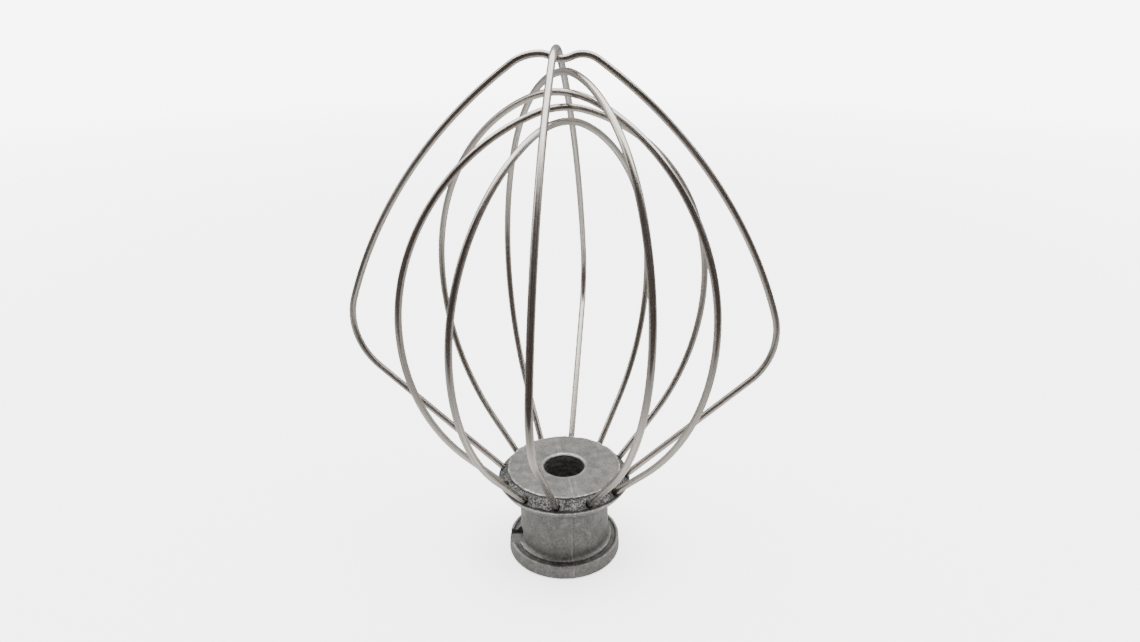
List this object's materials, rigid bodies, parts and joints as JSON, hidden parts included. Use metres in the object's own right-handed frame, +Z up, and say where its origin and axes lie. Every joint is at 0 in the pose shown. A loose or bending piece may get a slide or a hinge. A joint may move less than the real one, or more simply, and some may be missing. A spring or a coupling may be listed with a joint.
{
  "type": "stand mixer wire whip",
  "caption": "Open wire whip for a stand mixer: loops of round wire set in a short cast hub with a shaft bore and a bayonet slot.",
  "frame": {"origin": "centre of the shaft bore at the hub's lower face, on which the whip stands", "axes": "+Z up the bore axis from the hub to the tip of the wires; the notched outer wire's loop lies in the XZ plane and the plain outer wire's loop in the YZ plane"},
  "size_m": [0.1297, 0.1263, 0.1594],
  "materials": {
    "casting": "as-cast grey die casting, dull",
    "wire": "satin drawn stainless wire"
  },
  "bodies": {
    "root": {"hub": "casting", "outer_wire_notched": "wire", "outer_wire_plain": "wire", "inner_wire_1": "wire", "inner_wire_2": "wire", "inner_wire_3": "wire", "inner_wire_4": "wire"}
  },
  "joints": []
}
